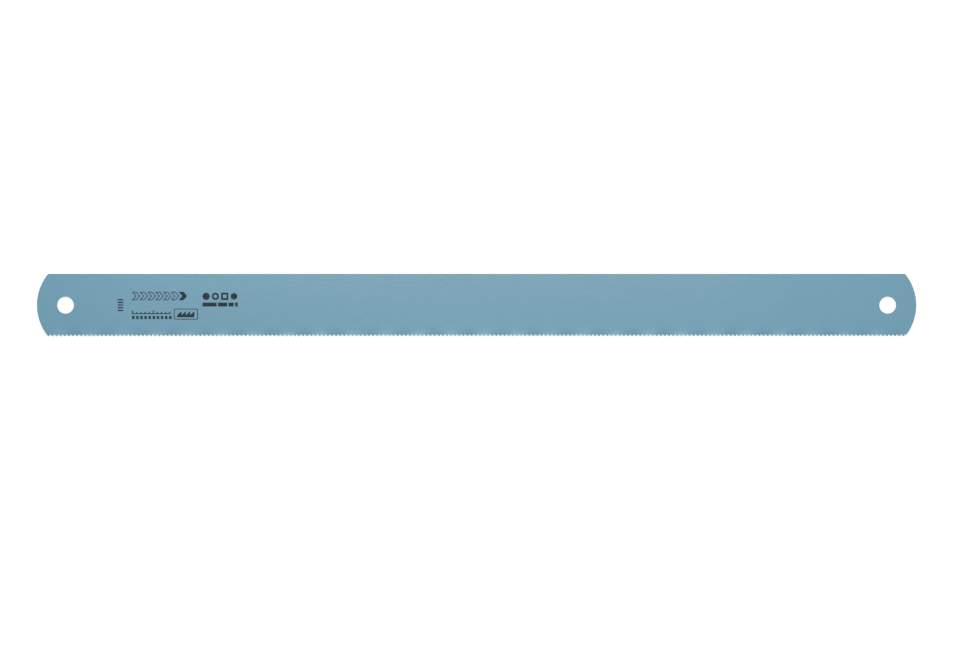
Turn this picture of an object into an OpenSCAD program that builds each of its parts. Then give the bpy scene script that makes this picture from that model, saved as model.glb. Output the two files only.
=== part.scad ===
// Machine hacksaw blade: a toothed edge strip welded along a backing strip.
// The blade lies flat, with its length along X, its teeth towards -Y and its upper face towards +Z.
// The origin is midway between the two pin holes, on the surface that the blade lies on.

/* [Strip] */
// Distance between the centres of the two pin holes
hole_spacing = 500; // [300:1:700]
// Diameter of the pin holes
hole_d = 10.4; // [8:0.1:13]
// From a pin hole's centre to the tip of the end beside it
end_margin = 17.25; // [14:0.25:25]
// Radius of the rounded ends
end_r = 30; // [24:0.5:60]
// Width from the back edge to the tooth tips
blade_w = 38; // [30:0.5:45]
// Thickness of the strip
blade_t = 2; // [1.2:0.05:2.5]
// Edge break along the back, round the ends and at the hole rims
edge_break = 0.2; // [0.05:0.05:0.4]

/* [Teeth] */
// Height of the welded edge strip, from its seam to the tooth tips
edge_h = 6; // [4:0.25:9]
// Distance from one tooth tip to the next
tooth_pitch = 2.5; // [1.8:0.1:6.3]
// Height of a tooth from the gullet floor to its tip
tooth_h = 1.25; // [0.8:0.05:2]
// Radius at the foot of a tooth, before and behind it
gullet_r = 0.35; // [0.2:0.05:0.6]
// Width of the flat floor between two teeth
gullet_floor = 0.2; // [0.1:0.05:0.4]
// How far the teeth on a crest of the wave lean out past the strip's face
tooth_set = 0.25; // [0.1:0.05:0.5]

/* [Hidden] */
$fn = 96;

// The lacquer of the whole blade
lacquer = "#79A3B5";

// Wavy set: the toothed edge swings up and down, once in this many teeth
wave_teeth = 8;
// The share of the swing that the strip takes, up to the feet of the teeth; the teeth take the rest
strip_share = 0.4;

// The strip's outline
overall_l = hole_spacing + 2 * end_margin;
end_centre_x = overall_l / 2 - end_r;
back_y = blade_w / 2;
tip_y = -blade_w / 2;
root_y = tip_y + tooth_h;
seam_y = tip_y + edge_h;
middle_z = tooth_set + blade_t / 2;

// How far a cutter passes the surface that it cuts
cut_clear = 1;
// Straight pieces in each arc of a gullet
gullet_steps = 3;

// A tooth reaches from its tip this far back along the row, to where its back meets the floor.
// The slope of its back is the one that leaves the floor its width.
tooth_back = tooth_pitch - gullet_r - gullet_floor;
back_angle = atan2(tooth_h - gullet_r, tooth_back)
    + asin(gullet_r / norm([tooth_back, tooth_h - gullet_r]));

// Waves on each side of the middle, enough to pass the corners at the ends
wave_l = wave_teeth * tooth_pitch;
root_corner_x = end_centre_x + sqrt(pow(end_r, 2) - pow(root_y, 2));
waves_each_way = ceil(root_corner_x / wave_l);

function arc(centre, r, from, to, steps) =
    [for (k = [0:steps]) let (a = from + (to - from) * k / steps) centre + r * [cos(a), sin(a)]];

// From one tooth's cutting face along the gullet to the next tip, seen from above.
// The cutting face is square to the row and looks towards +X.
gullet = concat(
    arc([gullet_r, root_y - gullet_r], gullet_r, 180, 90, gullet_steps),
    arc([tooth_pitch - tooth_back, root_y - gullet_r], gullet_r, 90, 90 - back_angle, gullet_steps),
    [[tooth_pitch, tip_y]]
);

// The rows in which the edge bends, each a place on the width and a share of the swing. In the strip the
// bend grows with the square of the distance from the seam. From there the teeth lean out straight.
bend_rows = [
    [seam_y, 0],
    [(seam_y + root_y) / 2, strip_share * pow(1 / 2, 2)],
    [root_y, strip_share],
    [tip_y - cut_clear, 1 + (1 - strip_share) * cut_clear / tooth_h]
];

// Two triangles that fill the space between four corners
function quad(a, b, c, d) = [[a, b, c], [a, c, d]];

// Draws a section given in y and z, as long as the given length, along X and centred.
module along_blade(length) {
    rotate([90, 0, 90]) linear_extrude(height = length, center = true) children();
}

// One wave of the edge strip before its teeth are cut: a loft through a section at each tooth tip.
// Its faces are the upper and the lower one, then the seam and the side past the tips, then both ends.
module bent_strip() {
    rows = len(bend_rows);
    last_row = rows - 1;
    last_tip = wave_teeth;
    function swing(tip) = tooth_set * sin(360 * tip / wave_teeth);
    function at(tip, row, face) = (2 * tip + face) * rows + row;
    points = [
        for (tip = [0:last_tip], face = [1, -1], row = bend_rows)
            [tip * tooth_pitch, row[0], face * blade_t / 2 + swing(tip) * row[1]]
    ];
    faces = [
        for (k = [1:last_tip], j = [1:last_row]) each concat(
            quad(at(k - 1, j - 1, 0), at(k, j - 1, 0), at(k, j, 0), at(k - 1, j, 0)),
            quad(at(k - 1, j - 1, 1), at(k - 1, j, 1), at(k, j, 1), at(k, j - 1, 1))
        ),
        for (k = [1:last_tip]) each concat(
            quad(at(k - 1, 0, 0), at(k - 1, 0, 1), at(k, 0, 1), at(k, 0, 0)),
            quad(at(k - 1, last_row, 0), at(k, last_row, 0), at(k, last_row, 1), at(k - 1, last_row, 1))
        ),
        for (j = [1:last_row]) each concat(
            quad(at(0, j - 1, 0), at(0, j, 0), at(0, j, 1), at(0, j - 1, 1)),
            quad(at(last_tip, j - 1, 0), at(last_tip, j - 1, 1), at(last_tip, j, 1), at(last_tip, j, 0))
        )
    ];
    polyhedron(points, faces);
}

// One wave with its teeth; the outline passes the bent strip on the sides that aren't toothed.
module wave() {
    intersection() {
        bent_strip();
        linear_extrude(height = blade_t + 4 * tooth_set + cut_clear, center = true) polygon(concat(
            [[-cut_clear, seam_y + cut_clear], [-cut_clear, root_y - gullet_r]],
            [for (k = [0 : wave_teeth - 1], p = gullet) p + [k * tooth_pitch, 0]],
            [[wave_l + cut_clear, tip_y], [wave_l + cut_clear, seam_y + cut_clear]]
        ));
    }
}

// What lies inside the rounded ends, taller and wider than the blade
module within_ends() {
    linear_extrude(height = blade_t + 2 * tooth_set + cut_clear, center = true) {
        square([2 * end_centre_x, blade_w + cut_clear], center = true);
        for (side = [-1, 1]) translate([side * end_centre_x, 0]) circle(r = end_r);
    }
}

// Breaks the upper and lower edge round each end, and the corner of a wave that stands over it
module end_edge_breaks() {
    for (end = [0, 180], face = [0, 1])
        rotate([0, 0, end]) mirror([0, 0, face])
            translate([end_centre_x, 0, blade_t / 2]) rotate([0, 0, -90])
                rotate_extrude(angle = 180) polygon([
                    [end_r - edge_break, 0],
                    [end_r - edge_break, tooth_set + cut_clear],
                    [end_r + cut_clear, tooth_set + cut_clear],
                    [end_r + cut_clear, -edge_break - cut_clear]
                ]);
}

// A pin hole with its rims broken
module pin_hole() {
    cylinder(d = hole_d, h = blade_t + cut_clear, center = true);
    for (face = [0, 1])
        mirror([0, 0, face]) translate([0, 0, blade_t / 2 - edge_break])
            cylinder(r1 = hole_d / 2, r2 = hole_d / 2 + 2 * edge_break, h = 2 * edge_break);
}

// Gives a strip its rounded ends and lifts it to lie on the lower crests of its wave.
module blanked() {
    translate([0, 0, middle_z]) difference() {
        intersection() {
            children();
            within_ends();
        }
        end_edge_breaks();
    }
}

module backing_strip() {
    color(lacquer) difference() {
        blanked() along_blade(overall_l) polygon([
            [seam_y, -blade_t / 2],
            [back_y - edge_break, -blade_t / 2],
            [back_y, -blade_t / 2 + edge_break],
            [back_y, blade_t / 2 - edge_break],
            [back_y - edge_break, blade_t / 2],
            [seam_y, blade_t / 2]
        ]);
        for (side = [-1, 1]) translate([side * hole_spacing / 2, 0, middle_z]) pin_hole();
    }
}

module tooth_edge() {
    color(lacquer) blanked()
        for (k = [-waves_each_way : waves_each_way - 1]) translate([k * wave_l, 0, 0]) wave();
}

backing_strip();
tooth_edge();
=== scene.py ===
# %% [markdown]
# # A machine hacksaw blade
#
# This lesson dresses the solids of a machine hacksaw blade for a picture. The real blade is a flat strip of
# steel with a pin hole near each end, and a power saw stretches it between two pins. A hard edge is welded
# along a tough back, teeth are milled in it, rollers press it into a wave, and the whole blade is sprayed
# with blue lacquer and printed.
#
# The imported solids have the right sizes, so they are loaded first and every later piece is set in their
# frame: the blade lies flat, with its length along X, its teeth towards -Y and its printed face up.

# %% Load the solids and keep their box
import math

import bmesh
import bpy
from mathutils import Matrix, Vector


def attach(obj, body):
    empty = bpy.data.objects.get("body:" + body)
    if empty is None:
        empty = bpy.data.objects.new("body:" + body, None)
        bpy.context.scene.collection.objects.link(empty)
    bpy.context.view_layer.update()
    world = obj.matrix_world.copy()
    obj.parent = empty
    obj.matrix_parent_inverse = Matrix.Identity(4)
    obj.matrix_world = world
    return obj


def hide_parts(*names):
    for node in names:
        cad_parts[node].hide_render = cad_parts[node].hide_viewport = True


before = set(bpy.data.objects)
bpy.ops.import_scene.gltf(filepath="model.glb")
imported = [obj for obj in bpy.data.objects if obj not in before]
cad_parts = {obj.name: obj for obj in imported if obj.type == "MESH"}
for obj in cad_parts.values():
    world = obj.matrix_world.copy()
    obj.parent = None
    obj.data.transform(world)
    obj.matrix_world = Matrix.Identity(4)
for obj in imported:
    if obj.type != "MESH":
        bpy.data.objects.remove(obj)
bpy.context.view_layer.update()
print("solids:", sorted(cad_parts))

# %% [markdown]
# ## Drawing in millimetres
#
# Many of Blender's tools have default distances, such as the reach of a merge, that suit things a metre
# across. The teeth of this blade are about a millimetre high. So each piece is modelled with one unit to
# the millimetre, and its mesh is scaled down to metres when it is done.
#
# An outline can be traced the way it is by hand: start from a single vertex, extrude it along each straight
# edge and spin it round each arc. A curve object could do the same, but it would have to be made a mesh
# before its edges could be worked on.

# %% Start, extrude and spin
MM = 0.001


def start_at(name, x, y, z):
    """A new piece of one selected vertex, left in edit mode."""
    bpy.ops.object.select_all(action="DESELECT")
    bpy.ops.mesh.primitive_plane_add(size=1)
    piece = bpy.context.object
    piece.name = piece.data.name = name
    bpy.ops.object.mode_set(mode="EDIT")
    bpy.ops.mesh.select_mode(type="VERT")
    bpy.ops.mesh.select_all(action="SELECT")
    bpy.ops.mesh.merge(type="CENTER")
    bpy.ops.transform.translate(value=(x, y, z))
    return piece


def extrude(x, y, z):
    """Draws what is selected out by a distance."""
    bpy.ops.mesh.extrude_region_move(TRANSFORM_OT_translate={"value": (x, y, z)})


def spin(centre, degrees, steps):
    """Draws what is selected round an upright axis, anticlockwise seen from above."""
    bpy.ops.mesh.spin(steps=steps, angle=-math.radians(degrees), center=centre, axis=(0, 0, 1))


print("a drawing unit is", MM, "m")

# %% [markdown]
# ## Picking without a mouse
#
# By hand one would click on a face or drag a box round some edges. Here a small test picks them, by the
# place or the direction of a vertex, edge or face. That is more typing than a click, but it still picks the
# right ones when a size changes.

# %% Pick parts of a mesh and turn its faces outwards
NEAR = 1e-3


def pick(piece, kind, wanted):
    """Selects the vertices, edges or faces that are wanted, and says how many there are."""
    bpy.ops.mesh.select_mode(type=kind)
    bpy.ops.mesh.select_all(action="DESELECT")
    shape = bmesh.from_edit_mesh(piece.data)
    shape.normal_update()
    parts = {"VERT": shape.verts, "EDGE": shape.edges, "FACE": shape.faces}[kind]
    chosen = [part for part in parts if wanted(part)]
    for part in chosen:
        part.select_set(True)
    shape.select_flush_mode()
    bmesh.update_edit_mesh(piece.data)
    return len(chosen)


def face_outwards():
    """Turns every face of the piece in edit mode outwards."""
    bpy.ops.mesh.select_all(action="SELECT")
    bpy.ops.mesh.normals_make_consistent(inside=False)


print("places closer than", NEAR, "mm count as the same")

# %% [markdown]
# ## Cutting and finishing
#
# A punch or a blanking die is a solid that cuts another one. In Blender that is a Boolean modifier, which
# is applied at once so that the mesh itself has the cut. The exact solver is slower than the fast one, but
# it keeps flat faces flat and copes with walls that nearly touch.
#
# A finished piece is scaled to metres with its place in its mesh. Smooth shading is limited by an angle, so
# that arcs look round and corners stay crisp.

# %% Apply, cut and finish
SOLVER = "EXACT"
CREASE_DEGREES = 30


def only(piece):
    """Leaves edit mode and makes the piece the only one selected."""
    if bpy.context.object and bpy.context.object.mode == "EDIT":
        bpy.ops.object.mode_set(mode="OBJECT")
    bpy.ops.object.select_all(action="DESELECT")
    piece.select_set(True)
    bpy.context.view_layer.objects.active = piece


def apply_modifier(piece, kind, **settings):
    """Gives a piece a modifier and applies it."""
    only(piece)
    modifier = piece.modifiers.new(kind.lower(), kind)
    for name, value in settings.items():
        setattr(modifier, name, value)
    bpy.ops.object.modifier_apply(modifier=modifier.name)


def cut(piece, tool, operation):
    """Cuts a piece with a tool, and throws the tool away."""
    apply_modifier(piece, "BOOLEAN", object=tool, operation=operation, solver=SOLVER)
    bpy.data.objects.remove(tool)


def finish_piece(piece, crease_degrees=CREASE_DEGREES):
    """Scales a piece to metres, shades it and says how large it is."""
    only(piece)
    piece.scale = (MM, MM, MM)
    bpy.ops.object.transform_apply(location=True, rotation=True, scale=True)
    bpy.ops.object.shade_smooth_by_angle(angle=math.radians(crease_degrees), keep_sharp_edges=True)
    size = [round(side / MM, 2) for side in piece.dimensions]
    print(piece.name, "is", size, "mm and has", len(piece.data.polygons), "faces")


print("cuts use the", SOLVER.lower(), "solver, and corners over", CREASE_DEGREES, "degrees stay crisp")

# %% [markdown]
# ## The backing strip
#
# The back of the blade is a plain strip with ends rounded to a radius larger than half its width, so that
# each end keeps two corners. In a factory a die blanks it out of a wider sheet.
#
# A cube with bevelled corners couldn't give these ends, because their arcs aren't tangent to the long
# edges. So the outline is traced instead: up one end arc, along the back edge, down the other end arc, and
# straight back. The filled outline is then extruded to the strip's thickness.

# %% Trace the blank and extrude it
HOLE_SPACING = 500.0
END_MARGIN = 17.25
END_RADIUS = 30.0
END_CENTRE_X = HOLE_SPACING / 2 + END_MARGIN - END_RADIUS
END_STEPS = 96
BLADE_WIDTH = 38.0
BACK_Y = BLADE_WIDTH / 2
TIP_Y = -BLADE_WIDTH / 2
EDGE_STRIP_HEIGHT = 6.0
SEAM_Y = TIP_Y + EDGE_STRIP_HEIGHT
THICKNESS = 2.0
SET = 0.25
LOWER_Z = SET
UPPER_Z = SET + THICKNESS
MIDDLE_Z = (LOWER_Z + UPPER_Z) / 2


def trace_blank(name, low_y, high_y, low_z, high_z):
    """A plate between two heights on the blade's width, with the blade's rounded ends."""
    low, high = (math.degrees(math.asin(y / END_RADIUS)) for y in (low_y, high_y))
    reach = [END_CENTRE_X + END_RADIUS * math.cos(math.radians(angle)) for angle in (low, high)]
    plate = start_at(name, reach[0], low_y, low_z)
    spin((END_CENTRE_X, 0, low_z), high - low, END_STEPS)
    extrude(-2 * reach[1], 0, 0)
    spin((-END_CENTRE_X, 0, low_z), high - low, END_STEPS)
    bpy.ops.mesh.select_all(action="SELECT")
    bpy.ops.mesh.edge_face_add()
    extrude(0, 0, high_z - low_z)
    face_outwards()
    bpy.ops.object.mode_set(mode="OBJECT")
    return plate


blade_back = trace_blank("blade_back", SEAM_Y, BACK_Y, LOWER_Z, UPPER_Z)
print("the blank has", len(blade_back.data.polygons), "faces")

# %% [markdown]
# ## Punching the pin holes
#
# Each pin hole is punched through the strip near an end. The holes could have been part of the traced
# outline, but then the face between them would need cutting up by hand. A punch does it in one go: a
# cylinder that reaches past both faces, with enough sides for the rim to look round in a close view.

# %% Punch a hole near each end
HOLE_RADIUS = 5.2
HOLE_SIDES = 128
PUNCH_LENGTH = 3 * THICKNESS

for side in (-1, 1):
    bpy.ops.object.select_all(action="DESELECT")
    bpy.ops.mesh.primitive_cylinder_add(
        vertices=HOLE_SIDES, radius=HOLE_RADIUS, depth=PUNCH_LENGTH,
        location=(side * HOLE_SPACING / 2, 0, MIDDLE_Z),
    )
    cut(blade_back, bpy.context.object, "DIFFERENCE")
print("after punching it has", len(blade_back.data.polygons), "faces")

# %% [markdown]
# ## Breaking the edges
#
# A punched strip has sharp burrs, so its edges are tumbled or brushed until they are slightly round.
# Lacquer rounds them a little more. A Bevel modifier would round every sharp edge. Here only edges between
# a flat face and a wall are bevelled, and not the ones along the seam, where the toothed edge joins on.
# Weighted normals then keep the large flat faces shading as flat.

# %% Bevel the rims, the ends and the back edge
EDGE_BREAK = 0.2
EDGE_STEPS = 3
WALL_SLOPE, FLAT_SLOPE = 0.1, 0.9
BACK_CREASE_DEGREES = 40
LARGE_FACE_WEIGHT = 100


def is_outer_edge(edge):
    """Whether an edge lies between a flat face and a wall, off the seam."""
    if len(edge.link_faces) != 2 or all(abs(v.co.y - SEAM_Y) < NEAR for v in edge.verts):
        return False
    slopes = sorted(abs(face.normal.z) for face in edge.link_faces)
    return slopes[0] < WALL_SLOPE and slopes[1] > FLAT_SLOPE


only(blade_back)
bpy.ops.object.mode_set(mode="EDIT")
count = pick(blade_back, "EDGE", is_outer_edge)
bpy.ops.mesh.bevel(offset=EDGE_BREAK, segments=EDGE_STEPS, affect="EDGES")
finish_piece(blade_back, BACK_CREASE_DEGREES)
apply_modifier(blade_back, "WEIGHTED_NORMAL", weight=LARGE_FACE_WEIGHT, keep_sharp=True)
print("edges broken:", count)

# %% [markdown]
# ## One tooth
#
# A saw tooth has an upright cutting face, a sloping back and a rounded gullet that curls the chip. On the
# real blade a milling cutter makes many at once. Cutting two hundred notches with Booleans would be slow
# and leave untidy faces, so one tooth is traced, and copied later: round the foot of its back, up to the
# tip, straight down the cutting face and round its foot.
#
# The slope of the back is worked out so that it runs from the tip into the small arc at its foot without a
# kink.

# %% Trace a tooth
PITCH = 2.5
TOOTH_HEIGHT = 1.25
GULLET_RADIUS = 0.35
GULLET_FLOOR = 0.2
ROOT_Y = TIP_Y + TOOTH_HEIGHT
FIRST_TIP_X = -265.0
BACK_FOOT_STEPS = 3
FACE_FOOT_STEPS = 5

back_reach = PITCH - GULLET_RADIUS - GULLET_FLOOR
rise = TOOTH_HEIGHT - GULLET_RADIUS
slope = math.atan2(rise, back_reach) + math.asin(GULLET_RADIUS / math.hypot(back_reach, rise))
back_foot_x = FIRST_TIP_X - back_reach
face_foot_x = FIRST_TIP_X + GULLET_RADIUS

toothed_edge = start_at("toothed_edge", back_foot_x, ROOT_Y, LOWER_Z)
spin((back_foot_x, ROOT_Y - GULLET_RADIUS, LOWER_Z), -math.degrees(slope), BACK_FOOT_STEPS)
extrude(
    back_reach - GULLET_RADIUS * math.sin(slope),
    -TOOTH_HEIGHT + GULLET_RADIUS * (1 - math.cos(slope)),
    0,
)
extrude(0, rise, 0)
spin((face_foot_x, ROOT_Y - GULLET_RADIUS, LOWER_Z), -90, FACE_FOOT_STEPS)
bpy.ops.mesh.select_all(action="SELECT")
bpy.ops.mesh.edge_face_add()
print("the back of a tooth slopes by", round(math.degrees(slope), 1), "degrees")

# %% [markdown]
# ## The strip behind the tooth
#
# The tooth stands on a strip that reaches up to the seam, with the floor of a gullet beside it. One tall
# face would do for a flat strip. This one gets bent, and a face can only bend along its edges, so the foot
# of the tooth is cut in two and drawn up in a few rows. A tooth is repeated about two hundred times, so it
# gets no more faces than the bend needs.

# %% Draw the strip up from the foot and give it its thickness
FOOT_CUTS = 1
BEND_ROWS = 3


def at_foot(edge):
    """Whether an edge lies along the foot of the tooth or the floor beside it."""
    return all(abs(v.co.y - ROOT_Y) < NEAR for v in edge.verts)


pick(toothed_edge, "EDGE", at_foot)
bpy.ops.mesh.subdivide(number_cuts=FOOT_CUTS)
pick(toothed_edge, "VERT", lambda v: (v.co.xy - Vector((back_foot_x, ROOT_Y))).length < NEAR)
extrude(-GULLET_FLOOR, 0, 0)
pick(toothed_edge, "EDGE", at_foot)
for row in range(BEND_ROWS):
    extrude(0, (SEAM_Y - ROOT_Y) / BEND_ROWS, 0)
bpy.ops.mesh.select_all(action="SELECT")
extrude(0, 0, THICKNESS)
face_outwards()
print("one pitch has", len(bmesh.from_edit_mesh(toothed_edge.data).faces), "faces")

# %% [markdown]
# ## Eight teeth
#
# The real edge is pressed into a wave that comes back every eight teeth, so that is the group that repeats.
# An Array makes it. Array copies whole meshes, so the end walls of a pitch are deleted first, or they would
# be left inside the strip. The open ends then merge into one another.

# %% Make a group of eight
WAVE_TEETH = 8
IN_ROW = {
    "use_relative_offset": False, "use_constant_offset": True,
    "use_merge_vertices": True, "merge_threshold": NEAR,
}
wave_length = WAVE_TEETH * PITCH
pitch_ends = (back_foot_x - GULLET_FLOOR, face_foot_x)


def at_pitch_end(part, ends=pitch_ends):
    """Whether a face or an edge lies in the wall at one end of a pitch."""
    return any(all(abs(v.co.x - end) < NEAR for v in part.verts) for end in ends)


pick(toothed_edge, "FACE", at_pitch_end)
bpy.ops.mesh.delete(type="FACE")
apply_modifier(
    toothed_edge, "ARRAY", count=WAVE_TEETH, constant_offset_displace=(PITCH, 0, 0), **IN_ROW
)
print("a wave is", wave_length, "mm long")

# %% [markdown]
# ## The wavy set
#
# Teeth that all stood in line would jam in their own cut. Coarse teeth are bent to the sides one by one.
# Teeth as fine as these are too small for that, so rollers press the whole toothed edge into a wave, up and
# down once in eight teeth. The cut then comes out wider than the strip, and in slanting light the wave
# shows as soft light and dark bands.
#
# A Wave modifier has no fixed crests, so each point of the edge is moved by a formula instead. Along the
# blade it is a sine. Across it the strip bends with the square of the distance from the seam, which starts
# gently and leaves the seam straight, and the weaker teeth take the larger share.

# %% Bend the group into a wave
STRIP_SHARE = 0.4


def swing(x, y):
    """How far the wave lifts a point of the edge; below nought it lowers it."""
    if y > ROOT_Y:
        bend = STRIP_SHARE * ((SEAM_Y - y) / (SEAM_Y - ROOT_Y)) ** 2
    else:
        bend = STRIP_SHARE + (1 - STRIP_SHARE) * (ROOT_Y - y) / TOOTH_HEIGHT
    return SET * bend * math.sin(2 * math.pi * x / wave_length)


bpy.ops.object.mode_set(mode="EDIT")
shape = bmesh.from_edit_mesh(toothed_edge.data)
spots = {(round(v.co.x, 3), round(v.co.y, 3)) for v in shape.verts if v.co.y < SEAM_Y - NEAR}
for spot in sorted(spots):
    pick(toothed_edge, "VERT", lambda v: (v.co.xy - Vector(spot)).length < NEAR)
    bpy.ops.transform.translate(value=(0, 0, swing(*spot)))
print("places moved up or down:", len(spots))

# %% [markdown]
# ## The whole row, cut to the ends
#
# A second Array repeats the wave along the blade and past both ends, where its two open ends are closed. On
# the real blade one die cuts both strips, so the same outline that made the backing strip trims the row. It
# is taller than the blade, so that it doesn't shave the crests of the wave. That leaves part of a tooth at
# each corner.

# %% Repeat the wave and trim it
WAVES = 27
TRIM_CLEAR = 2.0

apply_modifier(
    toothed_edge, "ARRAY", count=WAVES, constant_offset_displace=(wave_length, 0, 0), **IN_ROW
)
bpy.ops.object.mode_set(mode="EDIT")
for end in (pitch_ends[0], pitch_ends[0] + WAVES * wave_length):
    pick(toothed_edge, "EDGE", lambda e: e.is_boundary and at_pitch_end(e, (end,)))
    bpy.ops.mesh.edge_face_add()
face_outwards()
bpy.ops.object.mode_set(mode="OBJECT")

trimmer = trace_blank(
    "trimmer", TIP_Y - TRIM_CLEAR, SEAM_Y + TRIM_CLEAR, LOWER_Z - TRIM_CLEAR, UPPER_Z + TRIM_CLEAR
)
cut(toothed_edge, trimmer, "INTERSECT")
print("the trimmed row has", len(toothed_edge.data.polygons), "faces")

# %% [markdown]
# ## Rounding the ends of the row
#
# The edge break round each end of the backing strip runs on over the end of the toothed edge. A bevel would
# stumble over the cut tooth in each corner. So a scraper does it: the hollow profile that is left beside a
# rounded edge, spun round the middle of the end arc and taken off with a Boolean.

# %% Scrape the upper and lower edge of both ends
SCRAPER_REACH = 1.0
SCRAPER_TURN = 60
FACET = math.radians(90 / EDGE_STEPS)


def scraper(side, up):
    """A ring that rounds one edge of an end: side is -1 or 1, and up is 1 for the upper edge or -1."""
    rim = [
        Vector((EDGE_BREAK * (math.sin(k * FACET) - 1), EDGE_BREAK * (math.cos(k * FACET) - 1)))
        for k in range(EDGE_STEPS + 1)
    ]
    rim[0] += rim[0] - rim[1]
    rim[-1] += rim[-1] - rim[-2]
    outside = (Vector((SCRAPER_REACH, rim[-1].y)), Vector((SCRAPER_REACH, SCRAPER_REACH)))
    profile = [*rim, *outside, Vector((rim[0].x, SCRAPER_REACH))]
    corner_x = side * (END_CENTRE_X + END_RADIUS)
    corner_z = UPPER_Z if up > 0 else LOWER_Z
    tool = start_at("scraper", corner_x + side * profile[0].x, 0, corner_z + up * profile[0].y)
    for here, there in zip(profile, profile[1:]):
        extrude(side * (there.x - here.x), 0, up * (there.y - here.y))
    bpy.ops.mesh.select_all(action="SELECT")
    bpy.ops.mesh.edge_face_add()
    spin((side * END_CENTRE_X, 0, 0), -side * SCRAPER_TURN, END_STEPS)
    face_outwards()
    bpy.ops.object.mode_set(mode="OBJECT")
    return tool


for side in (-1, 1):
    for up in (1, -1):
        cut(toothed_edge, scraper(side, up), "DIFFERENCE")
only(toothed_edge)
bpy.ops.object.mode_set(mode="EDIT")
bpy.ops.mesh.select_all(action="SELECT")
bpy.ops.mesh.remove_doubles(threshold=NEAR)
finish_piece(toothed_edge)

# %% [markdown]
# ## The printed mark
#
# Blades carry a dark print near one end. This one gets a plain mark of signs that any maker could use: a
# tally, a row of chevrons that points the way the teeth cut, a rule with the pitch of the teeth, a box with
# saw teeth, and the sections of bar that the blade cuts. Screen ink is a film that can just be felt with a
# fingernail, so each sign is a flat shape that is drawn up a little.
#
# Each sign starts as a rectangle or a circle of its own size. A stencil cut with Booleans would do the
# same, but insets and bevels keep the faces simple.

# %% Lay, hollow and raise a film of ink
INK_FILM = 0.03
STROKE = 0.45


def ink_plate(name, left, low, width, height):
    """A flat rectangle on the upper face, in edit mode and selected."""
    plate = start_at(name, left, low, UPPER_Z)
    extrude(width, 0, 0)
    bpy.ops.mesh.select_all(action="SELECT")
    extrude(0, height, 0)
    bpy.ops.mesh.select_all(action="SELECT")
    return plate


def hollow_out(stroke=STROKE):
    """Leaves only an outline of the selected faces."""
    bpy.ops.mesh.select_mode(type="FACE")
    bpy.ops.mesh.inset(thickness=stroke, use_even_offset=True, use_boundary=True)
    bpy.ops.mesh.delete(type="FACE")
    bpy.ops.mesh.select_all(action="SELECT")


def raise_ink():
    """Draws the sign in edit mode up to the height of the film, and leaves edit mode."""
    bpy.ops.mesh.select_all(action="SELECT")
    extrude(0, 0, INK_FILM)
    face_outwards()
    bpy.ops.object.mode_set(mode="OBJECT")


print("ink is", INK_FILM, "mm thick, in strokes of", STROKE, "mm")

# %% [markdown]
# ### Tally
#
# A tally is the simplest sign there is: short bars in a row, like strokes on a workshop board. A screen
# prints them all at once. Here one bar is drawn and raised, and an Array stacks the others over it. A tall
# bar with slots would look the same, but each slot would have to be cut.

# %% Draw the tally
TALLY_LEFT, TALLY_LOW = -218.1, -3.6
TALLY_WIDTH, TALLY_HEIGHT = 3.3, 0.8
TALLY_BARS = 5
TALLY_STEP = 1.6


def repeat(sign, count, x=0, y=0):
    """Copies a sign in a row."""
    apply_modifier(
        sign, "ARRAY", count=count, use_relative_offset=False, use_constant_offset=True,
        constant_offset_displace=(x, y, 0),
    )


def ink_row(name, left, low, width, height, count=1, x=0, y=0):
    """A row of raised rectangles."""
    sign = ink_plate(name, left, low, width, height)
    raise_ink()
    repeat(sign, count, x, y)
    return sign


tally = ink_row(
    "mark_tally", TALLY_LEFT, TALLY_LOW, TALLY_WIDTH, TALLY_HEIGHT, TALLY_BARS, y=TALLY_STEP
)
print("the tally has", TALLY_BARS, "bars")

# %% [markdown]
# ### Chevrons
#
# Chevrons show a saw's cutting direction. One is a rectangle cut in two along its length, with the cut
# pushed forwards. An inset then turns the filled shape into an outline, which is quicker than tracing both
# of its sides. The last chevron stays filled, so that the row reads as an arrow. Signs that belong together
# are joined, so that the mark has a handful of pieces instead of dozens.

# %% Draw the chevrons
CHEVRON_LEFT, CHEVRON_LOW = -209.6, 2.95
CHEVRON_HEIGHT = 5.1
CHEVRON_WIDTH = 3.0
CHEVRON_POINT = 2.2
CHEVRON_STEP = 4.75
OUTLINED_CHEVRONS = 6


def chevron(name, left, outlined):
    """One chevron that points along +X."""
    middle_y = CHEVRON_LOW + CHEVRON_HEIGHT / 2
    sign = ink_plate(name, left, CHEVRON_LOW, CHEVRON_WIDTH, CHEVRON_HEIGHT)
    bpy.ops.mesh.bisect(plane_co=(0, middle_y, UPPER_Z), plane_no=(0, 1, 0))
    pick(sign, "VERT", lambda v: abs(v.co.y - middle_y) < NEAR)
    bpy.ops.transform.translate(value=(CHEVRON_POINT, 0, 0))
    bpy.ops.mesh.select_all(action="SELECT")
    if outlined:
        hollow_out()
    raise_ink()
    return sign


def join(name, *signs):
    """Makes one piece of several signs."""
    only(signs[0])
    for sign in signs:
        sign.select_set(True)
    bpy.ops.object.join()
    signs[0].name = signs[0].data.name = name
    return signs[0]


outlined = chevron("chevron", CHEVRON_LEFT, True)
repeat(outlined, OUTLINED_CHEVRONS, x=CHEVRON_STEP)
last = chevron("chevron_last", CHEVRON_LEFT + OUTLINED_CHEVRONS * CHEVRON_STEP, False)
chevrons = join("mark_chevrons", outlined, last)
print("chevrons reach from", CHEVRON_LEFT, "to", round(max(v.co.x for v in chevrons.data.vertices), 1))

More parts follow.
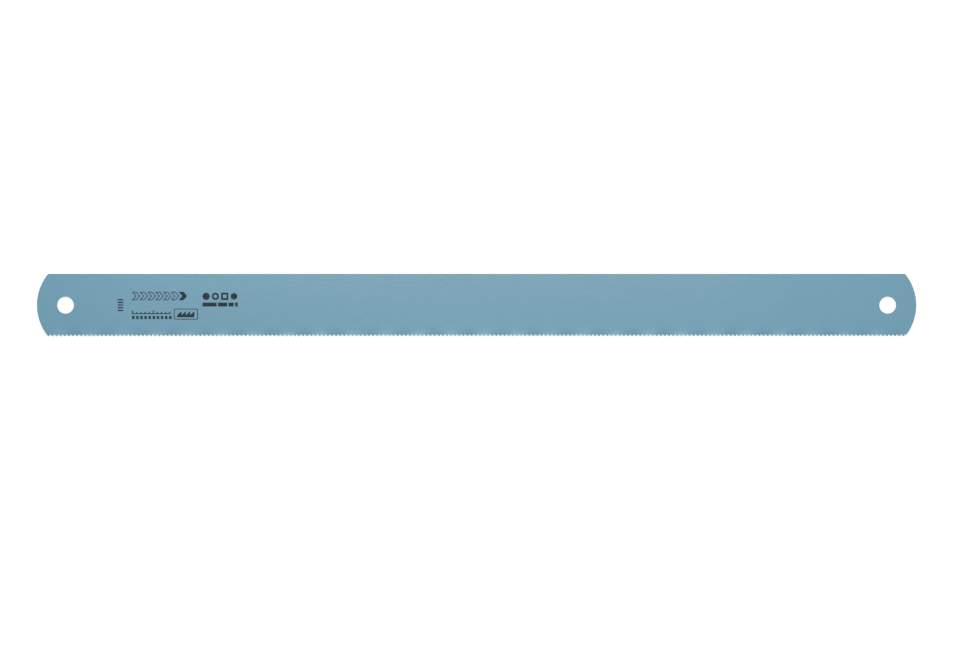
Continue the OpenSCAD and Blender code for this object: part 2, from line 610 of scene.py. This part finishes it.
# %% [markdown]
# ### Rule
#
# A printed rule lets the teeth be counted without a gauge. It is a line with a tick for each tooth of the
# blade, and a taller one at each fifth. Below it a row of blocks has the same pitch. Ticks and line only
# touch, and aren't cut to fit one another, because a film of one ink shows no joint.

# %% Draw the rule
RULE_LEFT, RULE_BASE = -209.4, -5.5
RULE_TEETH = 9
TALL_EACH = 5
TICK_WIDTH = 0.7
TICK_HEIGHT = 1.3
TALL_HEIGHT = 2.2
LINE_WIDTH = 0.5
BLOCK_LOW = RULE_BASE - 3.0
BLOCK_WIDTH, BLOCK_HEIGHT = 1.5, 1.9

rule_line = ink_row("rule_line", RULE_LEFT, RULE_BASE, RULE_TEETH * PITCH + TICK_WIDTH, LINE_WIDTH)
ticks = ink_row(
    "rule_ticks", RULE_LEFT, RULE_BASE + LINE_WIDTH, TICK_WIDTH, TICK_HEIGHT - LINE_WIDTH,
    RULE_TEETH + 1, x=PITCH,
)
tall_ticks = ink_row(
    "rule_tall_ticks", RULE_LEFT, RULE_BASE + TICK_HEIGHT, TICK_WIDTH, TALL_HEIGHT - TICK_HEIGHT,
    RULE_TEETH // TALL_EACH + 1, x=TALL_EACH * PITCH,
)
blocks = ink_row(
    "rule_blocks", RULE_LEFT, BLOCK_LOW, BLOCK_WIDTH, BLOCK_HEIGHT, RULE_TEETH + 1, x=PITCH
)
rule = join("mark_rule", rule_line, ticks, tall_ticks, blocks)
print("the rule spans", RULE_TEETH, "teeth")

# %% [markdown]
# ### Tooth box
#
# The box holds a short piece of saw. Its frame is a rectangle with its corners bevelled and its middle
# taken out. Each tooth is a rectangle with one corner moved onto the next and merged with it, which makes a
# triangle that stands exactly on the bar.

# %% Draw the tooth box
BOX_LEFT, BOX_LOW, BOX_WIDTH, BOX_HEIGHT = -184.0, -8.8, 14.6, 6.6
BOX_CORNER = 0.8
BOX_CORNER_STEPS = 4
SIGN_LEFT = BOX_LEFT + 2.1
SIGN_TEETH = 4
SIGN_TOOTH_WIDTH, SIGN_TOOTH_HEIGHT = 2.6, 2.4
SIGN_BAR_LOW, SIGN_BAR_HEIGHT = BOX_LOW + 1.4, 1.3
SIGN_TEETH_LOW = SIGN_BAR_LOW + SIGN_BAR_HEIGHT

box_line = ink_plate("tooth_box", BOX_LEFT, BOX_LOW, BOX_WIDTH, BOX_HEIGHT)
bpy.ops.mesh.bevel(offset=BOX_CORNER, segments=BOX_CORNER_STEPS, affect="VERTICES")
bpy.ops.mesh.select_all(action="SELECT")
hollow_out()
raise_ink()

saw_bar = ink_row("saw_bar", SIGN_LEFT, SIGN_BAR_LOW, SIGN_TEETH * SIGN_TOOTH_WIDTH, SIGN_BAR_HEIGHT)
saw_teeth = ink_plate("saw_teeth", SIGN_LEFT, SIGN_TEETH_LOW, SIGN_TOOTH_WIDTH, SIGN_TOOTH_HEIGHT)
pick(saw_teeth, "VERT", lambda v: v.co.x < SIGN_LEFT + NEAR and v.co.y > SIGN_TEETH_LOW + NEAR)
bpy.ops.transform.translate(value=(SIGN_TOOTH_WIDTH, 0, 0))
bpy.ops.mesh.select_all(action="SELECT")
bpy.ops.mesh.remove_doubles(threshold=NEAR)
raise_ink()
repeat(saw_teeth, SIGN_TEETH, x=SIGN_TOOTH_WIDTH)
tooth_box = join("mark_tooth_box", box_line, saw_bar, saw_teeth)
print("the box holds", SIGN_TEETH, "teeth")

# %% [markdown]
# ### Sections to cut
#
# Four small signs show the stock that a power saw cuts: round bar, thick tube, square tube and hexagon bar.
# A circle with six sides is a hexagon, so one helper draws three of them.

# %% Draw the section signs
SECTION_LEFT, SECTION_LOW = -166.6, 3.1
SECTION_SIZE, SECTION_STEP = 4.4, 5.65
SECTION_WALL = 1.1
ROUND_SIDES, HEXAGON_SIDES = 48, 6


def round_section(name, number, sides):
    """A filled circle or many-sided bar on the upper face, in edit mode and selected."""
    bpy.ops.object.select_all(action="DESELECT")
    radius = SECTION_SIZE / 2
    bpy.ops.mesh.primitive_circle_add(vertices=sides, radius=radius, fill_type="NGON")
    sign = bpy.context.object
    sign.name = name
    bpy.ops.object.mode_set(mode="EDIT")
    left = SECTION_LEFT + number * SECTION_STEP
    bpy.ops.transform.translate(value=(left + radius, SECTION_LOW + radius, UPPER_Z))
    bpy.ops.mesh.select_all(action="SELECT")
    return sign


round_bar = round_section("round_bar", 0, ROUND_SIDES)
raise_ink()
tube = round_section("tube", 1, ROUND_SIDES)
hollow_out(SECTION_WALL)
raise_ink()
square_tube = ink_plate(
    "square_tube", SECTION_LEFT + 2 * SECTION_STEP, SECTION_LOW, SECTION_SIZE, SECTION_SIZE
)
hollow_out(SECTION_WALL)
raise_ink()
hexagon_bar = round_section("hexagon_bar", 3, HEXAGON_SIDES)
raise_ink()
print("section signs are", SECTION_SIZE, "mm across")

# %% [markdown]
# ### Lengths of bar
#
# Below the sections lies a bar that is cut to ever shorter lengths, with a gap for each cut. The lengths
# differ, so an Array wouldn't do, and a loop lays them one after the other. Then every sign of the mark is
# scaled to metres.

# %% Draw the cut lengths and finish the mark
LENGTHS = (8.6, 5.6, 3.2, 1.6)
LENGTH_LOW, LENGTH_HEIGHT = -0.9, 2.4
CUT_WIDTH = 0.8

lengths = []
left = SECTION_LEFT
for number, length in enumerate(LENGTHS):
    lengths.append(ink_row(f"length_{number}", left, LENGTH_LOW, length, LENGTH_HEIGHT))
    left += length + CUT_WIDTH
sections = join("mark_sections", round_bar, tube, square_tube, hexagon_bar, *lengths)

mark = (tally, chevrons, rule, tooth_box, sections)
for sign in mark:
    finish_piece(sign)

# %% [markdown]
# ## Tools for the finishes
#
# A finish is a small tree of nodes. Such trees are usually drawn in the node editor. In code, a few short
# helpers keep each finish readable as a recipe. All patterns read Object coordinates, in metres, so a scale
# of 1000 is one wave to the millimetre, and a pattern runs on across the seam between the two strips.

# %% Nodes and patterns
COARSE_DETAIL, FINE_DETAIL = 2.0, 3.0


def add_node(tree, kind, inputs=None, **settings):
    """A node with its sockets and settings filled in. A socket is linked where it is given an output."""
    node = tree.nodes.new(kind)
    for name, value in settings.items():
        setattr(node, name, value)
    for name, value in (inputs or {}).items():
        if isinstance(value, bpy.types.NodeSocket):
            tree.links.new(value, node.inputs[name])
        else:
            node.inputs[name].default_value = value
    return node


def new_material(name):
    """An empty material, with its tree, its shader and the piece's own coordinates."""
    material = bpy.data.materials.new(name)
    material.use_nodes = True
    tree = material.node_tree
    place = add_node(tree, "ShaderNodeTexCoord").outputs["Object"]
    return material, tree, tree.nodes["Principled BSDF"], place


def noise(tree, place, scale, stretch=(1, 1, 1), detail=COARSE_DETAIL):
    """A cloudy pattern, stretched along the piece where that is wanted."""
    spot = add_node(tree, "ShaderNodeMapping", {"Vector": place, "Scale": stretch})
    cloud = add_node(
        tree, "ShaderNodeTexNoise", {"Vector": spot.outputs["Vector"], "Scale": scale, "Detail": detail}
    )
    return cloud.outputs["Fac"]


print("a pattern with one wave to the millimetre has a scale of", round(1 / MM))

# %% [markdown]
# ## Blends and reliefs
#
# A noise pattern mostly lies between three and seven tenths, so that range is spread over the numbers that
# are wanted. A relief is a bump in the shading. It is right for what is far finer than a millimetre, such
# as grinding lines. Anything larger on this blade is modelled.

# %% Spread, calculate, blend and emboss
NOISE_LOW, NOISE_HIGH = 0.3, 0.7
# A Mix node has sockets for every kind of value, and these are the ones that it mixes colours with
MIX_FACTOR, MIX_FIRST, MIX_SECOND, MIX_RESULT = 0, 6, 7, 2


def between(tree, value, low, high, start=NOISE_LOW, end=NOISE_HIGH):
    """Numbers from low to high, as a value goes from start to end."""
    spread = add_node(
        tree, "ShaderNodeMapRange",
        {"Value": value, "From Min": start, "From Max": end, "To Min": low, "To Max": high},
    )
    return spread.outputs["Result"]


def calculate(tree, operation, *values):
    """The result of one sum on numbers or outputs."""
    return add_node(tree, "ShaderNodeMath", dict(enumerate(values)), operation=operation).outputs[0]


def blend_colours(tree, factor, first, second):
    """A colour that goes from the first to the second with a pattern."""
    sockets = {MIX_FACTOR: factor, MIX_FIRST: first, MIX_SECOND: second}
    return add_node(tree, "ShaderNodeMix", sockets, data_type="RGBA").outputs[MIX_RESULT]


def relief(tree, height, strength, distance, over=None):
    """A relief on the surface, over another one where that is given."""
    bumps = add_node(tree, "ShaderNodeBump", {"Height": height, "Strength": strength, "Distance": distance})
    if over:
        tree.links.new(over, bumps.inputs["Normal"])
    return bumps.outputs["Normal"]


print("noise is spread from", NOISE_LOW, "to", NOISE_HIGH)

# %% [markdown]
# ## Where the lacquer is thin
#
# Wet lacquer draws back from a sharp edge, so the steel greys it along the rims, the ends, the back edge
# and the tooth tips. The mask for that could be painted on vertices, but the flat faces have none inside
# them. So it is worked out from the place on the blade: close to the outline and also close to one of the
# two faces.

# %% Measure how near the lacquer is to an edge
THIN_BAND = 0.45 * MM
INWARD_REACH = 2 * HOLE_RADIUS * MM
FLECK_SCALE = 2500
FLECK_LEAST = 0.2


def thin_lacquer(tree, place):
    """Nought on the faces and one at the sharpest edges, broken up into flecks."""
    x, y, z = add_node(tree, "ShaderNodeSeparateXYZ", {0: place}).outputs
    along = calculate(tree, "ABSOLUTE", x)

    def distance_from(middle_x):
        """How far a point lies from an upright axis, with the blade's far middle counted as close by."""
        sideways = calculate(tree, "SUBTRACT", along, middle_x)
        outwards = calculate(tree, "MAXIMUM", sideways, -INWARD_REACH)
        flat = add_node(tree, "ShaderNodeCombineXYZ", {0: outwards, 1: y}).outputs[0]
        return add_node(tree, "ShaderNodeVectorMath", {0: flat}, operation="LENGTH").outputs["Value"]

    def near(value, edge, band=THIN_BAND):
        """Grows to one as a value comes up to an edge, or down to it where the band is negative."""
        return between(tree, value, 0, 1, edge - band, edge)

    end = near(distance_from(END_CENTRE_X * MM), END_RADIUS * MM)
    rim = near(distance_from(HOLE_SPACING / 2 * MM), HOLE_RADIUS * MM, -THIN_BAND)
    outline = calculate(tree, "MAXIMUM", near(y, BACK_Y * MM), end)
    outline = calculate(tree, "MAXIMUM", outline, rim)
    height = calculate(tree, "ABSOLUTE", calculate(tree, "SUBTRACT", z, MIDDLE_Z * MM))
    corner = calculate(tree, "MULTIPLY", outline, near(height, THICKNESS / 2 * MM))
    edges = calculate(tree, "MAXIMUM", corner, near(y, TIP_Y * MM, -THIN_BAND))
    flecks = between(tree, noise(tree, place, FLECK_SCALE, detail=FINE_DETAIL), FLECK_LEAST, 1)
    return calculate(tree, "MULTIPLY", edges, flecks)


print("lacquer is thin within", round(THIN_BAND / MM, 2), "mm of an edge")

# %% [markdown]
# ## The colour of the lacquer
#
# The lacquer is a thin satin film over ground steel. On the real blade its thickness drifts a little along
# the strip, which changes the blue, and fine specks of pigment show in a close view. A single flat colour
# would look like plastic. So two blues drift into one another, a darker one specks them, and the steel
# comes through where the film is thin.

# %% Mix the blues
LACQUER_DEEP = (0.102, 0.269, 0.372, 1)
LACQUER_PALE = (0.110, 0.286, 0.393, 1)
LACQUER_SPECK = (0.092, 0.248, 0.346, 1)
STEEL_GREY = (0.130, 0.180, 0.205, 1)
STEEL_SHARE = 0.85
DRIFT_SCALE = 14
DRIFT_STRETCH = (0.4, 1, 1)
SPECK_SCALE = 3200
SPECK_SHARE = 0.8
SPECK_START, SPECK_END = 0.45, 0.75

lacquer, tree, shader, place = new_material("blue_lacquer")
drift = between(tree, noise(tree, place, DRIFT_SCALE, DRIFT_STRETCH), 0, 1)
even = blend_colours(tree, drift, LACQUER_DEEP, LACQUER_PALE)
specks = noise(tree, place, SPECK_SCALE, detail=FINE_DETAIL)
speck_blend = between(tree, specks, 0, SPECK_SHARE, SPECK_START, SPECK_END)
specked = blend_colours(tree, speck_blend, even, LACQUER_SPECK)
steel = calculate(tree, "MULTIPLY", thin_lacquer(tree, place), STEEL_SHARE)
tree.links.new(blend_colours(tree, steel, specked, STEEL_GREY), shader.inputs["Base Color"])
print("the lacquer's colour is mixed from", len(tree.nodes), "nodes")

# %% [markdown]
# ## The gloss of the lacquer
#
# Grinding lines run along the steel under the film, and the film itself has the faint orange peel of
# sprayed paint. Both are far smaller than a millimetre, so they are reliefs in the shading and from a
# distance the blade looks even. The shine comes from the roughness and the lamps, and isn't painted in.

# %% Add satin, grinding lines and orange peel
SATIN_SCALE = 240
SATIN_SMOOTH, SATIN_ROUGH = 0.257, 0.273
GRINDING_STRETCH = (40, 4200, 40)
GRINDING_STRENGTH, GRINDING_DEPTH = 0.7, 0.05 * MM
PEEL_SCALE = 1100
PEEL_STRENGTH, PEEL_DEPTH = 0.6, 0.06 * MM

satin = between(tree, noise(tree, place, SATIN_SCALE, detail=FINE_DETAIL), SATIN_SMOOTH, SATIN_ROUGH)
tree.links.new(satin, shader.inputs["Roughness"])
lines = noise(tree, place, 1, GRINDING_STRETCH, detail=FINE_DETAIL)
grinding = relief(tree, lines, GRINDING_STRENGTH, GRINDING_DEPTH)
peel = relief(tree, noise(tree, place, PEEL_SCALE), PEEL_STRENGTH, PEEL_DEPTH, grinding)
tree.links.new(peel, shader.inputs["Normal"])
for strip in (blade_back, toothed_edge):
    strip.data.materials.clear()
    strip.data.materials.append(lacquer)
print("lacquer is on", blade_back.name, "and", toothed_edge.name)

# %% [markdown]
# ## The ink
#
# The print is a nearly black blue, duller than the lacquer. Where the screen left less ink, the lacquer
# shows through a little and the ink is also smoother, so one noise pattern drives both its colour and its
# shine. Two patterns would fall out of step. The mesh of the screen leaves a fine relief on it.

# %% Mix the ink
INK_FULL = (0.004, 0.008, 0.011, 1)
INK_THIN = (0.016, 0.036, 0.047, 1)
INK_GRAIN_SCALE = 1100
INK_ROUGH, INK_SMOOTH = 0.62, 0.48
INK_SHINE = 0.2
SCREEN_SCALE = 2600
SCREEN_STRENGTH, SCREEN_DEPTH = 0.4, 0.02 * MM

ink, tree, shader, place = new_material("print_ink")
coverage = noise(tree, place, INK_GRAIN_SCALE, detail=FINE_DETAIL)
ink_colour = blend_colours(tree, between(tree, coverage, 0, 1), INK_FULL, INK_THIN)
tree.links.new(ink_colour, shader.inputs["Base Color"])
tree.links.new(between(tree, coverage, INK_ROUGH, INK_SMOOTH), shader.inputs["Roughness"])
screen = relief(tree, noise(tree, place, SCREEN_SCALE), SCREEN_STRENGTH, SCREEN_DEPTH)
tree.links.new(screen, shader.inputs["Normal"])
shader.inputs["Specular IOR Level"].default_value = INK_SHINE
for sign in mark:
    sign.data.materials.clear()
    sign.data.materials.append(ink)
print("ink is on", ", ".join(sign.name for sign in mark))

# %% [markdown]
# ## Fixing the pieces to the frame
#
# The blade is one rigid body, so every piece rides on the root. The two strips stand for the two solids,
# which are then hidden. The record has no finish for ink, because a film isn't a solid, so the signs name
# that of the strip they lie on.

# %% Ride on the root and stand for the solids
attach(blade_back, "root")
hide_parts("backing_strip")
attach(toothed_edge, "root")
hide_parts("tooth_edge")
for sign in mark:
    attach(sign, "root")

# %% [markdown]
# ## A white floor
#
# The blade lies on a white sheet. A brighter lamp would whiten the sheet, but it would bleach the blade as
# well. So to the camera the sheet glows just enough to reach paper white where light falls on it, and it
# still darkens in the blade's shadow. The glow grows outwards, where less of the lamp's light reaches. All
# other light sees a plain white sheet, so the glow doesn't light the blade. The sheet lies a tenth of a
# millimetre under the teeth that lean down furthest, so that no two faces share a place.

# %% Lay the floor
FLOOR_SIDE = 12.0
FLOOR_GAP = 0.0001
FLOOR_WHITE = (0.85, 0.85, 0.85, 1)
GLOW_NEAR, GLOW_FAR = 0.40, 0.56
GLOW_REACH = (0.1, 1.9)


def seen_directly(tree):
    """One where the camera, a reflection or a clear piece looks, and nought for other light."""
    rays = add_node(tree, "ShaderNodeLightPath").outputs
    mirrored = calculate(tree, "MAXIMUM", rays["Is Glossy Ray"], rays["Is Transmission Ray"])
    return calculate(tree, "MAXIMUM", rays["Is Camera Ray"], mirrored)


bpy.ops.object.select_all(action="DESELECT")
bpy.ops.mesh.primitive_plane_add(size=FLOOR_SIDE, location=(0, 0, -FLOOR_GAP))
floor = bpy.context.object
floor.name = floor.data.name = "floor"

sheet, tree, shader, place = new_material("white_sheet")
tree.nodes.remove(shader)
from_middle = add_node(tree, "ShaderNodeVectorMath", {0: place}, operation="LENGTH").outputs["Value"]
brightness = between(tree, from_middle, GLOW_NEAR, GLOW_FAR, *GLOW_REACH)
paper = add_node(tree, "ShaderNodeBsdfDiffuse", {"Color": FLOOR_WHITE}).outputs[0]
glow = add_node(tree, "ShaderNodeEmission", {"Strength": brightness}).outputs[0]
glowing = add_node(tree, "ShaderNodeAddShader", {0: paper, 1: glow}).outputs[0]
surface = add_node(tree, "ShaderNodeMixShader", {0: seen_directly(tree), 1: paper, 2: glowing}).outputs[0]
tree.links.new(surface, tree.nodes["Material Output"].inputs["Surface"])
floor.data.materials.append(sheet)
print("the floor is", FLOOR_SIDE, "m wide")

# %% [markdown]
# ## The surroundings
#
# A studio has pale walls, which fill the shadows with a soft even light. The world does the same without
# any walls being built: it is white to the eye and to reflections, and a little dimmer to everything else.

# %% Set the world
SKY_LIGHT = 0.61

world = bpy.data.worlds.new("studio")
bpy.context.scene.world = world
world.use_nodes = True
tree = world.node_tree
background = tree.nodes["Background"]
background.inputs["Color"].default_value = (1, 1, 1, 1)
tree.links.new(between(tree, seen_directly(tree), SKY_LIGHT, 1, 0, 1), background.inputs["Strength"])
print("the sky lights the blade at", SKY_LIGHT)

# %% [markdown]
# ## The softbox
#
# One long softbox hangs beside the camera, a third of a metre towards the blade's back edge, and is turned
# to face the blade. Its soft reflection in the lacquer is what makes the middle of the blade and its back
# edge paler than its ends. Three small lamps would light the blade as well, but each would leave a spot of
# its own in the satin.

# %% Hang the softbox
SOFTBOX_PLACE = (0.0, 0.333, 1.363)
SOFTBOX_SIZE = (0.994, 0.469)
SOFTBOX_BRIGHTNESS = 6.1

bpy.ops.object.light_add(type="AREA", location=SOFTBOX_PLACE)
softbox = bpy.context.object
softbox.name = "softbox"
softbox.data.shape = "RECTANGLE"
softbox.data.size, softbox.data.size_y = SOFTBOX_SIZE
softbox.data.energy = SOFTBOX_BRIGHTNESS * math.pi * SOFTBOX_SIZE[0] * SOFTBOX_SIZE[1]
softbox.rotation_euler = Vector(SOFTBOX_PLACE).to_track_quat("Z", "Y").to_euler()
print("the softbox gives", round(softbox.data.energy, 2), "watts")

# %% [markdown]
# ## The camera
#
# The camera looks straight down from a metre and a half, so that the walls of the pin holes just show on
# their outer sides. A flat view without perspective would hide them. The lens is worked out from the width
# of the picture at the blade.

# %% Set the camera
CAMERA_PLACE = (0.0042, -0.0106)
CAMERA_HEIGHT = 1.5
VIEW_WIDTH = 0.5877426
SENSOR = 36.0

bpy.ops.object.camera_add(location=(*CAMERA_PLACE, CAMERA_HEIGHT + UPPER_Z * MM), rotation=(0, 0, 0))
camera = bpy.context.object
camera.data.sensor_fit = "HORIZONTAL"
camera.data.sensor_width = SENSOR
camera.data.lens = SENSOR * CAMERA_HEIGHT / VIEW_WIDTH
bpy.context.scene.camera = camera
bpy.context.scene.view_settings.view_transform = "Standard"
print("the lens is", round(camera.data.lens, 1), "mm long")
